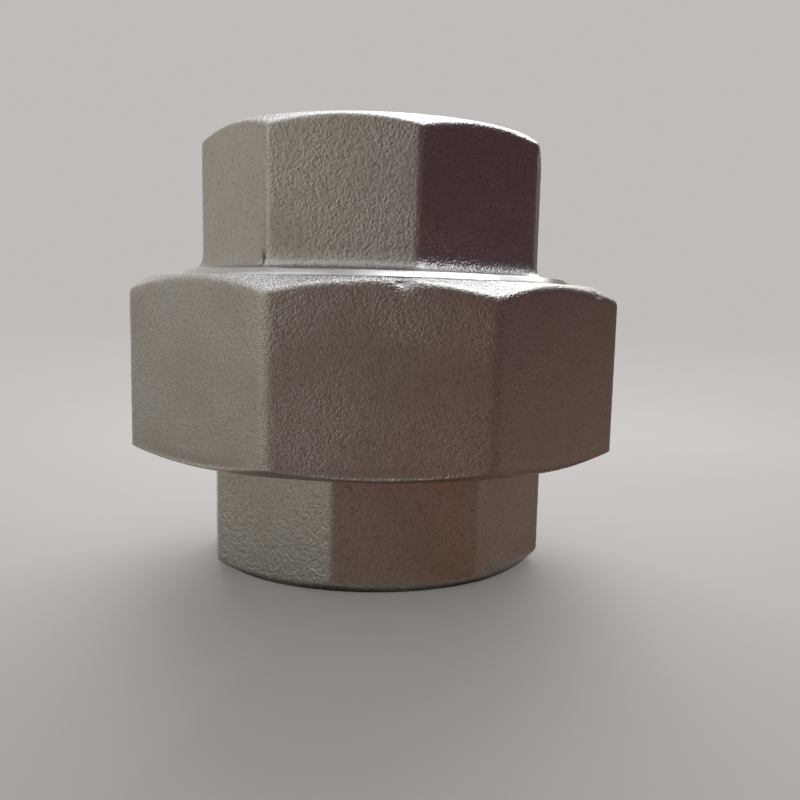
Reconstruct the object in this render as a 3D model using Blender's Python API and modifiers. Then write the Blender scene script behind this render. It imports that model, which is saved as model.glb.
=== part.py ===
"""Threaded pipe union: a head piece, a union nut, a tail piece and a flat seal.

Lengths are metres and +Z is up along the pipe. The origin is the middle of the lower port's face,
on the axis that every piece turns and slides on. Each piece is modelled from its own reference
face at z = 0, with a flat of its octagon towards -Y, and is then set on that axis.
"""

import math

import bmesh
import bpy
from mathutils import Matrix

MM = 0.001

# Ports: a plain bore at the pipe thread's pitch line, and the octagon round it
PORT_BORE = 40.43 * MM
PORT_DEPTH = 19.0 * MM
PORT_COUNTERSINK = 1.01 * MM
PORT_STEP = 2.74 * MM
END_WALL = 3.51 * MM
END_FACE_INSET = 0.85 * MM
END_CHAMFER = math.radians(31.5)

# Lengths of the octagons that stand out of the nut
TAIL_FLATS = 16.5 * MM
HEAD_FLATS = 19.5 * MM

# Tail's collar and the flat seal that lies in its recess
COLLAR_LIP = 2.1 * MM
COLLAR_THICKNESS = 5.0 * MM
COLLAR_CHAMFER = 0.6 * MM
SEAL_WIDTH = 5.5 * MM
SEAL_THICKNESS = 2.0 * MM
SEAL_SET_BACK = 0.5 * MM
SEAL_RECESS = 1.0 * MM

# Head's threaded spigot, the turned cone round its shoulder, and the cast fillet at the octagon's foot
SPIGOT_LENGTH = 14.25 * MM
SPIGOT_CHAMFER = 1.2 * MM
THREAD_HEIGHT = 1.08 * MM
THREAD_RELIEF_DEPTH = 0.5 * MM
THREAD_RELIEF_LENGTH = 2.8 * MM
SHOULDER_CONE_WIDTH = 0.9 * MM
SHOULDER_CONE = math.radians(42.0)
FOOT_FILLET = 1.5 * MM

# Nut: an in-turned lip below the collar, and an open threaded mouth above
NUT_WALL = 3.5 * MM
NUT_LIP = 4.5 * MM
NUT_HOLE_CHAMFER = 0.5 * MM
NUT_MOUTH_SETBACK = 0.95 * MM
NUT_MOUTH_COUNTERSINK = 1.0 * MM
NUT_GROOVE_DEPTH = 0.7 * MM
NUT_GROOVE_LENGTH = 3.5 * MM
NUT_TOP_INSET = 0.95 * MM
NUT_TOP_CHAMFER = math.radians(30.0)
NUT_FOOT_INSET = 1.6 * MM
NUT_FOOT_CHAMFER = math.radians(22.0)

# Fits: the nut passes over the tail's octagon, and turned faces run free of each other
PASS_CLEARANCE = 0.79 * MM
RUNNING_GAP = 0.35 * MM
SEAT_GAP = 0.3 * MM

# How far each end stands turned from the nut, whose flats face the axes
HEAD_TURN = math.radians(-12.3)
TAIL_TURN = math.radians(8.7)

# Octagons, their rounded cast edges, and the facets of round faces
SIDES = 8
EDGE_RADIUS = 1.3 * MM
EDGE_SEGMENTS = 3
FILLET_SEGMENTS = 4
TURNED_SEGMENTS = 72
MERGE_DISTANCE = 0.01 * MM
SMOOTH_ANGLE = math.radians(25.0)

# Colours, linear: shot-blasted castings, and the white fluoropolymer of the seal
CAST_STAINLESS = (0.38, 0.35, 0.32)
SEAL_WHITE = (0.80, 0.79, 0.76)

# Radii, worked outwards from the port
CORNER = 1.0 / math.cos(math.pi / SIDES)
port_radius = PORT_BORE / 2
port_mouth_radius = port_radius + PORT_COUNTERSINK
waterway_radius = port_radius - PORT_STEP
end_apothem = port_radius + END_WALL
end_corner = end_apothem * CORNER
end_face_radius = end_apothem - END_FACE_INSET
nut_hole_radius = end_corner + PASS_CLEARANCE
neck_radius = nut_hole_radius - RUNNING_GAP
collar_radius = nut_hole_radius + COLLAR_LIP
thread_minor = collar_radius + RUNNING_GAP
thread_major = thread_minor + THREAD_HEIGHT
pitch_line = (thread_minor + thread_major) / 2
spigot_radius = pitch_line - RUNNING_GAP / 2
relief_radius = spigot_radius - THREAD_RELIEF_DEPTH
shoulder_radius = relief_radius - SHOULDER_CONE_WIDTH
nut_bore_radius = pitch_line + RUNNING_GAP / 2
nut_mouth_radius = nut_bore_radius + NUT_MOUTH_COUNTERSINK
nut_groove_radius = nut_bore_radius + NUT_GROOVE_DEPTH
nut_apothem = thread_major + NUT_WALL
seal_inner = waterway_radius + SEAL_SET_BACK
seal_outer = seal_inner + SEAL_WIDTH
recess_radius = seal_outer + SEAT_GAP
foot_fillet = min(FOOT_FILLET, (shoulder_radius - end_corner) / CORNER)

# Heights, stacked up from the lower port's face
nut_bottom = TAIL_FLATS
collar_bottom = nut_bottom + NUT_LIP + SEAT_GAP
collar_top = collar_bottom + COLLAR_THICKNESS
recess_floor = collar_top - SEAL_RECESS
seal_bottom = recess_floor + SEAT_GAP
spigot_bottom = seal_bottom + SEAL_THICKNESS + SEAT_GAP
nut_top = spigot_bottom + SPIGOT_LENGTH - NUT_MOUTH_SETBACK
nut_height = nut_top - nut_bottom
head_height = SPIGOT_LENGTH + HEAD_FLATS


def clear_scene():
    """Remove every object and collection, so that the script can be run again."""
    for obj in list(bpy.data.objects):
        bpy.data.objects.remove(obj)
    for collection in list(bpy.data.collections):
        bpy.data.collections.remove(collection)


def new_collection(name):
    """Add a collection to the scene."""
    collection = bpy.data.collections.new(name)
    bpy.context.scene.collection.children.link(collection)
    return collection


def add_object(name, mesh, collection):
    """Put a mesh in the scene as an object."""
    obj = bpy.data.objects.new(name, mesh)
    collection.objects.link(obj)
    return obj


def principled(name, colour, metallic, roughness):
    """Plain material of one colour."""
    material = bpy.data.materials.new(name)
    material.use_nodes = True
    shader = material.node_tree.nodes["Principled BSDF"]
    shader.inputs["Base Color"].default_value = (*colour, 1.0)
    shader.inputs["Metallic"].default_value = metallic
    shader.inputs["Roughness"].default_value = roughness
    return material


def turned(name, profile):
    """Solid of revolution about Z from (radius, z) points, the outer side from top to bottom.

    A profile that starts and ends on the axis is a plug; any other is closed into a ring.
    """
    points = [(radius, 0.0, z) for radius, z in profile]
    edges = [(i, i + 1) for i in range(len(points) - 1)]
    if profile[0][0] > 0:
        edges.append((len(points) - 1, 0))
    mesh = bpy.data.meshes.new(name)
    mesh.from_pydata(points, edges, [])
    obj = add_object(name, mesh, cutters)
    screw = obj.modifiers.new("Turn", "SCREW")
    screw.steps = TURNED_SEGMENTS
    screw.render_steps = TURNED_SEGMENTS
    screw.use_merge_vertices = True
    screw.merge_threshold = MERGE_DISTANCE
    obj.hide_render = True
    obj.display_type = "WIRE"
    return obj


def octagon_mesh(name, apothem, bottom, top, fillet=0.0):
    """Octagonal bar with rounded long edges, flared at its foot by a concave fillet.

    The fillet is the foot's outline pushed down and out in steps along a quarter circle.
    """
    bm = bmesh.new()
    bar_bottom = bottom + fillet
    turn = Matrix.Rotation(math.pi / SIDES, 4, "Z")
    lift = Matrix.Translation((0.0, 0.0, (bar_bottom + top) / 2))
    bmesh.ops.create_cone(
        bm,
        cap_ends=True,
        segments=SIDES,
        radius1=apothem * CORNER,
        radius2=apothem * CORNER,
        depth=top - bar_bottom,
        matrix=lift @ turn,
    )
    long_edges = [e for e in bm.edges if abs(e.verts[0].co.z - e.verts[1].co.z) > MERGE_DISTANCE]
    bmesh.ops.bevel(
        bm,
        geom=long_edges,
        offset=EDGE_RADIUS * math.tan(math.pi / SIDES),
        segments=EDGE_SEGMENTS,
        profile=0.5,
        affect="EDGES",
    )
    if fillet > 0:
        foot = min(bm.faces, key=lambda face: face.calc_center_median().z)
        reach = apothem
        for step in range(1, FILLET_SEGMENTS + 1):
            angle = math.pi / 2 * step / FILLET_SEGMENTS
            height = bottom + fillet * (1.0 - math.sin(angle))
            new_reach = apothem + fillet * (1.0 - math.cos(angle))
            extruded = bmesh.ops.extrude_discrete_faces(bm, faces=[foot])
            foot = extruded["faces"][0]
            for vert in foot.verts:
                vert.co.x *= new_reach / reach
                vert.co.y *= new_reach / reach
                vert.co.z = height
            reach = new_reach
    bmesh.ops.recalc_face_normals(bm, faces=bm.faces)
    mesh = bpy.data.meshes.new(name)
    bm.to_mesh(mesh)
    bm.free()
    return mesh


def shape(obj, operation, tool):
    """Join, cut or trim a piece with a turned tool, and keep the result as its mesh."""
    boolean = obj.modifiers.new(operation.title(), "BOOLEAN")
    boolean.operation = operation
    boolean.object = tool
    bpy.context.view_layer.update()
    evaluated = obj.evaluated_get(bpy.context.evaluated_depsgraph_get())
    mesh = bpy.data.meshes.new_from_object(evaluated)
    obj.modifiers.clear()
    obj.data = mesh


def chamfer_drop(outer, inner, slope):
    """Height that a cone of this slope falls between two radii."""
    return (outer - inner) * math.tan(slope)


def port_plug(height):
    """Turned plug for a port that opens at z = 0 and leads into a waterway of the given height."""
    margin = PORT_COUNTERSINK
    return [
        (0.0, height + margin),
        (waterway_radius, height + margin),
        (waterway_radius, PORT_DEPTH + PORT_STEP),
        (port_radius, PORT_DEPTH),
        (port_radius, PORT_COUNTERSINK),
        (port_mouth_radius + margin, -margin),
        (0.0, -margin),
    ]


def flipped(profile, height):
    """The same profile turned end for end in a piece of the given height."""
    return [(radius, height - z) for radius, z in reversed(profile)]


def end_envelope(height):
    """Turned blank of an octagonal end: a flat face at z = 0 with a cone to clear the corners."""
    outer = end_corner + END_WALL
    return [
        (0.0, height),
        (outer, height),
        (outer, chamfer_drop(outer, end_face_radius, END_CHAMFER)),
        (end_face_radius, 0.0),
        (0.0, 0.0),
    ]


def finish(obj, material, location_z, turn):
    """Place a piece on the axis, and shade it smooth between its edges."""
    obj.location = (0.0, 0.0, location_z)
    obj.rotation_euler = (0.0, 0.0, turn)
    obj.parent = axis
    obj.data.materials.clear()
    obj.data.materials.append(material)
    obj.data.shade_smooth()
    obj.data.set_sharp_from_angle(angle=SMOOTH_ANGLE)


def make_tail_piece():
    """Lower end: octagon and port below, round neck through the nut, collar with the seal's recess."""
    height = collar_top
    octagon_top = collar_bottom
    bar = octagon_mesh("tail_piece", end_apothem, -END_WALL, octagon_top)
    tail = add_object("tail_piece", bar, parts)
    shape(tail, "INTERSECT", turned("tail_blank", end_envelope(height)))
    collar = [
        (0.0, height),
        (collar_radius - COLLAR_CHAMFER, height),
        (collar_radius, height - COLLAR_CHAMFER),
        (collar_radius, collar_bottom),
        (neck_radius, collar_bottom),
        (neck_radius, TAIL_FLATS),
        (0.0, TAIL_FLATS),
    ]
    shape(tail, "UNION", turned("tail_collar", collar))
    shape(tail, "DIFFERENCE", turned("tail_port", port_plug(height)))
    recess = [
        (0.0, height + SEAL_RECESS),
        (recess_radius, height + SEAL_RECESS),
        (recess_radius, recess_floor),
        (0.0, recess_floor),
    ]
    shape(tail, "DIFFERENCE", turned("tail_seal_recess", recess))
    finish(tail, principled("cast_stainless_tail", CAST_STAINLESS, 1.0, 0.50), 0.0, TAIL_TURN)


def make_seal_ring():
    """Flat ring that lies in the tail's recess, under the end of the head's spigot."""
    ring = [
        (seal_inner, SEAL_THICKNESS),
        (seal_outer, SEAL_THICKNESS),
        (seal_outer, 0.0),
        (seal_inner, 0.0),
    ]
    tool = turned("seal_profile", ring)
    bpy.context.view_layer.update()
    evaluated = tool.evaluated_get(bpy.context.evaluated_depsgraph_get())
    seal = add_object("seal_ring", bpy.data.meshes.new_from_object(evaluated), parts)
    finish(seal, principled("white_seal", SEAL_WHITE, 0.0, 0.45), seal_bottom, 0.0)


def make_union_nut():
    """Octagonal nut: chamfered outside, with a lip under the collar and a threaded bore above it."""
    outer = nut_apothem * CORNER + NUT_WALL
    bar = octagon_mesh("union_nut", nut_apothem, -NUT_WALL, nut_height + NUT_WALL)
    nut = add_object("union_nut", bar, parts)
    top_face = nut_apothem - NUT_TOP_INSET
    foot_face = nut_apothem - NUT_FOOT_INSET
    blank = [
        (0.0, nut_height),
        (top_face, nut_height),
        (outer, nut_height - chamfer_drop(outer, top_face, NUT_TOP_CHAMFER)),
        (outer, chamfer_drop(outer, foot_face, NUT_FOOT_CHAMFER)),
        (foot_face, 0.0),
        (0.0, 0.0),
    ]
    shape(nut, "INTERSECT", turned("nut_blank", blank))
    margin = NUT_MOUTH_COUNTERSINK
    groove_top = NUT_LIP + NUT_GROOVE_LENGTH
    bore = [
        (0.0, nut_height + margin),
        (nut_mouth_radius + margin, nut_height + margin),
        (nut_bore_radius, nut_height - NUT_MOUTH_COUNTERSINK),
        (nut_bore_radius, groove_top + NUT_GROOVE_DEPTH),
        (nut_groove_radius, groove_top),
        (nut_groove_radius, NUT_LIP),
        (nut_hole_radius + NUT_HOLE_CHAMFER, NUT_LIP),
        (nut_hole_radius, NUT_LIP - NUT_HOLE_CHAMFER),
        (nut_hole_radius, NUT_HOLE_CHAMFER),
        (nut_hole_radius + NUT_HOLE_CHAMFER + margin, -margin),
        (0.0, -margin),
    ]
    shape(nut, "DIFFERENCE", turned("nut_bore", bore))
    finish(nut, principled("cast_stainless_nut", CAST_STAINLESS, 1.0, 0.48), nut_bottom, 0.0)


def make_head_piece():
    """Upper end: threaded spigot below, and an octagon that grows out of its shoulder with a fillet."""
    bar_top = head_height + END_WALL
    bar = octagon_mesh("head_piece", end_apothem, SPIGOT_LENGTH, bar_top, foot_fillet)
    head = add_object("head_piece", bar, parts)
    blank = flipped(end_envelope(head_height), head_height)
    shape(head, "INTERSECT", turned("head_blank", blank))
    relief_bottom = SPIGOT_LENGTH - THREAD_RELIEF_LENGTH
    spigot = [
        (0.0, SPIGOT_LENGTH),
        (shoulder_radius, SPIGOT_LENGTH),
        (relief_radius, SPIGOT_LENGTH - chamfer_drop(relief_radius, shoulder_radius, SHOULDER_CONE)),
        (relief_radius, relief_bottom),
        (spigot_radius, relief_bottom - THREAD_RELIEF_DEPTH),
        (spigot_radius, SPIGOT_CHAMFER),
        (spigot_radius - SPIGOT_CHAMFER, 0.0),
        (0.0, 0.0),
    ]
    shape(head, "UNION", turned("head_spigot", spigot))
    shape(head, "DIFFERENCE", turned("head_port", flipped(port_plug(head_height), head_height)))
    steel = principled("cast_stainless_head", CAST_STAINLESS, 1.0, 0.50)
    finish(head, steel, spigot_bottom, HEAD_TURN)


clear_scene()
parts = new_collection("pipe_union")
cutters = new_collection("cutters")
axis = bpy.data.objects.new("pipe_axis", None)
parts.objects.link(axis)
make_tail_piece()
make_seal_ring()
make_union_nut()
make_head_piece()
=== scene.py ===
"""Looks of a cast stainless pipe union: castings, threads, seal, stage and camera.

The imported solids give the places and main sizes. Each casting is one closed surface: a section in
radius and height, carried round the pipe axis, whose octagon parts change with the angle.
"""

import itertools
import math
from collections import namedtuple

import bpy
import numpy as np
from bpy.props import FloatProperty, FloatVectorProperty, PointerProperty
from mathutils import Matrix, Vector


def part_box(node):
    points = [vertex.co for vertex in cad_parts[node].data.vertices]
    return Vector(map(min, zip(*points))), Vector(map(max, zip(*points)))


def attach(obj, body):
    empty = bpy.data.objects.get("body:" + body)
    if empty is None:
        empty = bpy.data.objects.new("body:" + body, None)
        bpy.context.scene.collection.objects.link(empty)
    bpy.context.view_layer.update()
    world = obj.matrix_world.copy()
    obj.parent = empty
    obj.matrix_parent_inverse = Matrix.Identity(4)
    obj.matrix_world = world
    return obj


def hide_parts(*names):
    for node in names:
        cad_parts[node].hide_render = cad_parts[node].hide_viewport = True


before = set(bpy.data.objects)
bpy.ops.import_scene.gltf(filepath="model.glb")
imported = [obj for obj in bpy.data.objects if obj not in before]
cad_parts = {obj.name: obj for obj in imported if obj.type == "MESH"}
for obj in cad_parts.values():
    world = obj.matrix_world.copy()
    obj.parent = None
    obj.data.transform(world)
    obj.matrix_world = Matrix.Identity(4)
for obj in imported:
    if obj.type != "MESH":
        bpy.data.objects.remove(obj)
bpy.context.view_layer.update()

bl_info = {
    "name": "Pipe union",
    "version": (1, 0, 0),
    "blender": (4, 5, 0),
    "location": "View3D > Sidebar > Pipe Union",
    "description": "Dresses a threaded pipe union as cast stainless steel on a plain stage",
    "category": "Object",
}

MM = 0.001
SIDES = 8
HALF_SIDE = math.pi / SIDES

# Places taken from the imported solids
TAIL_LOW, TAIL_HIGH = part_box("tail_piece")
SEAL_LOW, SEAL_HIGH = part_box("seal_ring")
NUT_LOW, NUT_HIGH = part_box("union_nut")
HEAD_LOW, HEAD_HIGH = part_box("head_piece")

# Grids: columns on each flat and each rounded corner of an octagon, strips in each rounded corner of a
# section, steps in a turn of thread, columns of a card and sides of the floor
FLAT_COLUMNS = 62
EDGE_COLUMNS = 10
BLEND_STRIPS = 4
THREAD_STEPS = 96
CARD_COLUMNS = 24
FLOOR_SIDES = 96

# Share of half a side that a rounded corner's columns take, and of a run that its two blends may take
CORNER_SHARE = 0.05
BLEND_ROOM = 0.96

# Threads: slope of a ridge's sides, play between two that mesh, part of a turn over which a ridge rises
# from nothing, and how deep its foot is sunk where it is nothing
THREAD_LEAN = math.tan(math.radians(30.0))
THREAD_PLAY = 0.1 * MM
RUN_OUT = 0.45
RUN_OUT_SINK = 0.05 * MM

# Profile of a ridge, over the crest and back under the root: height against the ridge's, and the side
# of its middle that each point lies on
RIDGE_HEIGHTS = (0.0, 0.65, 0.97, 1.0, 0.97, 0.65, 0.0, -0.1, -0.1)
RIDGE_SIDES = (-1.0, -1.0, -1.0, 0.0, 1.0, 1.0, 1.0, 1.0, -1.0)

# Where a port's thread starts under its face and stops over its bottom, in pitches
PORT_START = 0.9
PORT_STOP = 0.8

# Finish of a strip of a section, as the slot of its material
CAST = 0
TURNED = 1
SEAL_SKIN = 0

# Cast skin: depth and width of its long waves and of its grain, side of the noise's table, and seeds
WAVE_DEPTH = 0.050 * MM
WAVE_WIDTH = 8.0 * MM
GRAIN_DEPTH = 0.045 * MM
GRAIN_WIDTH = 0.75 * MM
NOISE_TABLE = 32
TAIL_SEED = 11
NUT_SEED = 21
HEAD_SEED = 31

# Dents left by casting and handling: place, width and depth in mm
NUT_NICKS = (((2.2, -33.3, 40.6), 0.95, 0.60), ((29.7, -17.6, 40.1), 0.6, 0.55))

# Painted shade darkens the casting along this crack, besides its dent
# Crack at the foot of the head's left edge: points of a broken line, width and depth in mm
HEAD_CRACK = ((-15.1, -20.3, 44.3), (-15.1, -20.5, 43.7), (-14.8, -21.1, 43.2), (-15.3, -21.3, 42.6),
              (-15.8, -22.1, 42.2))
CRACK_WIDTH = 0.24
CRACK_DEPTH = 0.16

# Bumps: height of pebbles and grit against their width, and depth of lathe rings and of scuffs
PEBBLE_SLOPE = 0.16
GRIT_SLOPE = 0.07
RING_DEPTH = 0.006 * MM
SCUFF_DEPTH = 0.004 * MM

# Sockets of a colour mix, whose names other kinds of mix share
MIX_FACTOR = 0
MIX_A = 6
MIX_B = 7
MIX_RESULT = 2

# Floor: radius, drop under the foot, tone of its darker fibres, distance at which half of it is left on
# the way to the surround, share of surround that metal mirrors in it, and the radii under the foot from
# which metal mirrors the floor alone
FLOOR_RADIUS = 3.0
FLOOR_DROP = 0.05 * MM
FIBRE_TONE = 0.97
FADE_REACH = 0.14
MIRROR_SHARE = 0.32
UNDER_START = 26.5 * MM
UNDER_FULL = 24.0 * MM

# Nearest distance that the camera sees, in metres
CAMERA_CLIP = 0.01

# Corner of a section: radius and height, each one value or one per column, how far it is blended, and
# the strips and finish of the run to the next corner
Corner = namedtuple("Corner", "radius height blend strips finish")

# Glow of cards: stops, each an angle about Z in degrees from the front and one of the stage's colours
Glow = namedtuple("Glow", "stops strength")

# Card that the metal mirrors: a profile of reach and rise in metres, carried round Z between two angles
Card = namedtuple("Card", "name glow start stop reach rise")


def linear(code):
    """Linear colour of an sRGB hex code."""
    levels = [int(code[i:i + 2], 16) / 255 for i in (1, 3, 5)]
    return tuple(v / 12.92 if v <= 0.04045 else ((v + 0.055) / 1.055) ** 2.4 for v in levels)


def length(name, description, default):
    """A length that a user can change."""
    return FloatProperty(name=name, description=description, default=default, min=0.0, precision=5,
                         unit="LENGTH")


def angle(name, description, degrees):
    """An angle that a user can change."""
    return FloatProperty(name=name, description=description, default=math.radians(degrees),
                         subtype="ANGLE")


def colour(name, description, code):
    """A colour that a user can change."""
    return FloatVectorProperty(name=name, description=description, default=linear(code), size=3,
                               subtype="COLOR", min=0.0, max=1.0)


class UnionSizes(bpy.types.PropertyGroup):
    """Sizes of the castings and threads."""

    end_flats: length("End width", "Across flats of the head and tail octagons", 47.45 * MM)
    end_inset: length("End face inset", "From a flat in to the end face's rim", 0.85 * MM)
    end_slope: angle("End chamfer", "Slope of the cone on the octagons' ends", 31.5)
    end_edge: length("End edges", "Rounding of the head's and tail's long edges", 1.8 * MM)
    nut_edge: length("Nut edges", "Rounding of the nut's long edges", 2.8 * MM)
    cast_blend: length("Cast blend", "Rounding of the castings' other edges", 0.55 * MM)
    turned_blend: length("Turned blend", "Broken edge of turned faces", 0.15 * MM)
    foot_fillet: length("Foot fillet", "Fillet where the head's octagon meets its shoulder", 2.4 * MM)
    head_turn: angle("Head turn", "Turn of the head's octagon from the nut's", -12.3)
    tail_turn: angle("Tail turn", "Turn of the tail's octagon from the nut's", 8.7)
    port_root: length("Port thread root", "Root radius of the pipe thread in each port", 20.955 * MM)
    port_crest: length("Port thread crest", "Crest radius of the pipe thread", 19.55 * MM)
    port_pitch: length("Port pitch", "Pitch of the pipe thread, eleven to the inch", 2.309 * MM)
    port_depth: length("Port depth", "Depth of the threaded socket", 19.0 * MM)
    port_mouth: length("Port mouth", "Radius of the countersink at the port's face", 21.225 * MM)
    waterway: length("Waterway", "Radius of the plain bore between the ports", 17.475 * MM)
    union_pitch: length("Union pitch", "Pitch of the nut's thread", 2.0 * MM)
    union_root: length("Union root", "Root radius of the head's male thread", 28.75 * MM)
    union_crest: length("Union crest", "Crest radius of the head's male thread", 29.92 * MM)
    thread_gap: length("Thread gap", "Gap in radius between the nut's thread and the head's", 0.12 * MM)
    shoulder: length("Shoulder", "Radius of the turned shoulder above the head's thread", 28.9 * MM)
    shoulder_length: length("Shoulder length", "From the octagon's foot to the thread", 2.8 * MM)
    shoulder_width: length("Shoulder cone", "Width of the turned cone round the shoulder", 0.95 * MM)
    shoulder_slope: angle("Shoulder slope", "Slope of that cone", 42.0)
    spigot_length: length("Spigot length", "From the spigot's end to the octagon's foot", 14.25 * MM)
    spigot_lead: length("Spigot lead", "Chamfer at the spigot's end", 1.2 * MM)
    nut_top_inset: length("Nut top inset", "From a flat in to the top face's rim", 0.95 * MM)
    nut_top_slope: angle("Nut top chamfer", "Slope of the nut's upper cone", 30.0)
    nut_top_blend: length("Nut top edge", "Rounding of the edge under the upper cone", 0.75 * MM)
    nut_foot_inset: length("Nut foot inset", "From a flat in to the lower face's rim", 1.3 * MM)
    nut_foot_slope: angle("Nut foot chamfer", "Slope of the nut's lower cone", 22.0)
    foot_burr: length("Foot burr", "How far the nut's foot stands out from the dip above, amid a flat",
                      0.22 * MM)
    burr_height: length("Burr height", "Height of the slope between that dip and the edge", 0.4 * MM)
    nut_hole: length("Nut hole", "Radius of the hole in the nut's lip", 26.47 * MM)
    nut_lip: length("Nut lip", "Thickness of the nut's in-turned lip", 4.5 * MM)
    nut_groove: length("Nut groove", "Height of the run-out groove above the nut's lip", 3.5 * MM)
    nut_mouth: length("Nut mouth", "Radius of the countersink at the nut's open end", 30.6 * MM)
    neck: length("Neck", "Radius of the tail's neck inside the nut's lip", 26.12 * MM)
    flats_length: length("Tail flats", "Length of the tail's octagon below the nut", 16.5 * MM)
    collar: length("Collar", "Thickness of the tail's collar", 5.0 * MM)
    recess: length("Recess", "Depth of the seal's recess in the collar", 1.0 * MM)
    recess_gap: length("Recess gap", "Gap in radius between the seal and its recess", 0.3 * MM)
    seal_inner: length("Seal bore", "Inner radius of the seal", 17.975 * MM)


class UnionFinish(bpy.types.PropertyGroup):
    """Colours and grain of the materials."""

    steel: colour("Steel", "Blasted stainless, the lighter tone", "#AEA99F")
    steel_dark: colour("Steel, dark", "Blasted stainless, the darker tone", "#A7A196")
    # Pores: colour of the painted shade in the pits of the cast skin
    pit_shade: colour("Pores", "Dark pores of the cast skin", "#827A6E")
    # Cracks: colour of the painted shade along the head's crack
    crack: colour("Cracks", "Dirt in a casting crack", "#3A342E")
    turned: colour("Turned steel", "Bright turned faces and threads", "#C6C3BD")
    turned_dark: colour("Turned steel, dark", "Grooves of turned faces", "#A5A19A")
    seal: colour("Seal", "White fluoropolymer", "#ECEAE4")
    seal_dark: colour("Seal, dark", "Cloudy tone in the fluoropolymer", "#DCD8CE")
    grain: length("Grain", "Width of the blasted grain", 0.34 * MM)
    grit: length("Grit", "Width of the fine grit on the grain", 0.17 * MM)
    cloud: length("Cloud", "Width of the tone's soft clouds", 9.0 * MM)
    lathe: length("Lathe lines", "Feed of the turned faces, coarse enough to show", 0.22 * MM)


class UnionStage(bpy.types.PropertyGroup):
    """Floor, surround, cards, softbox and camera."""

    floor: colour("Floor", "Plain pale floor", "#A09C97")
    surround: colour("Surround", "Pale surround that the metal mirrors", "#BFBCBA")
    screen_front: colour("Screen, front", "Dim screen where it starts, in front", "#7E6F6C")
    screen_inner: colour("Screen, inner", "Dim screen, front right", "#805A50")
    screen_edge: colour("Screen, edge", "Dim upper screen, where it turns dark", "#544E48")
    screen_foot: colour("Screen, foot", "Dim card on the floor near the foot, front right", "#7C6055")
    screen_red: colour("Screen, red", "Dim card on the floor farther off, front right", "#8E5F54")
    screen_side: colour("Screen, side", "Dim screen, right", "#4F2A3C")
    screen_right: colour("Screen, right", "Dim screen, right and a little behind", "#806B63")
    screen_back: colour("Screen, back", "Dim screen where it ends, behind", "#5E4A46")
    strip: colour("Strip", "Tall bright card, front left", "#F8F8F6")
    window: colour("Window", "Cool bright cards, high up and behind", "#E6EFFF")
    side_card: colour("Side card", "Pale card, left and behind", "#D4D0CC")
    lamp_width: length("Softbox width", "Width of the softbox", 2.6)
    lamp_height: length("Softbox height", "Height of the softbox, up its slope", 1.4)
    lamp_side: angle("Softbox side", "Softbox's place round the axis, from the front", 174.0)
    lamp_reach: length("Softbox reach", "From the pipe axis to the softbox", 2.2)
    lamp_rise: length("Softbox rise", "Height of the softbox's middle above the floor", 1.3)
    lamp_power: FloatProperty(name="Softbox power", description="Power of the softbox", default=72.0,
                              unit="POWER")
    camera_distance: length("Camera distance", "From the pipe axis", 142.8 * MM)
    camera_height: length("Camera height", "Above the floor", 37.6 * MM)
    camera_side: angle("Camera side", "Camera's place round the axis, from the front", -1.31)
    camera_heading: angle("Heading", "Turn of the view to the right", 5.18)
    camera_pitch: angle("Pitch", "Tilt of the view downwards", 7.97)
    camera_roll: angle("Roll", "Roll of the picture", -1.55)
    camera_lens: FloatProperty(name="Lens", description="Focal length in millimetres", default=41.92)
    camera_shift_x: FloatProperty(name="Shift across", description="Shift of the picture across",
                                  default=-0.046)
    camera_shift_y: FloatProperty(name="Shift up", description="Shift of the picture upwards",
                                  default=0.049)


def octagon_angles(turn):
    """Column angles round an octagon: even steps along each flat, then even steps round each corner.

    A flat of an octagon with no turn faces -Y.
    """
    corner = CORNER_SHARE * HALF_SIDE
    reach = math.tan(HALF_SIDE - corner)
    flat = np.arctan(np.linspace(-reach, reach, FLAT_COLUMNS))
    edge = HALF_SIDE + np.linspace(-corner, corner, EDGE_COLUMNS + 2)[1:-1]
    side = np.concatenate([flat, edge])
    starts = turn - math.pi / 2 + np.arange(SIDES) * 2 * HALF_SIDE
    return (starts[:, None] + side[None, :]).ravel()


def octagon_radius(angles, turn, flats, rounding):
    """Radius of a rounded octagon: the flat's apothem over the cosine, or the corner's arc beyond it.

    The arc's centre lies on the corner's line, and the arc touches both flats.
    """
    apothem = flats / 2
    from_flat = (angles - turn + math.pi / 2 + HALF_SIDE) % (2 * HALF_SIDE) - HALF_SIDE
    on_flat = apothem / np.cos(from_flat)
    centre = (apothem - rounding) / math.cos(HALF_SIDE)
    from_corner = HALF_SIDE - np.abs(from_flat)
    reach = np.maximum(rounding ** 2 - (centre * np.sin(from_corner)) ** 2, 0.0)
    on_arc = centre * np.cos(from_corner) + np.sqrt(reach)
    tangent = math.atan((apothem - rounding) * math.tan(HALF_SIDE) / apothem)
    return np.where(np.abs(from_flat) < tangent, on_flat, on_arc)


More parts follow.
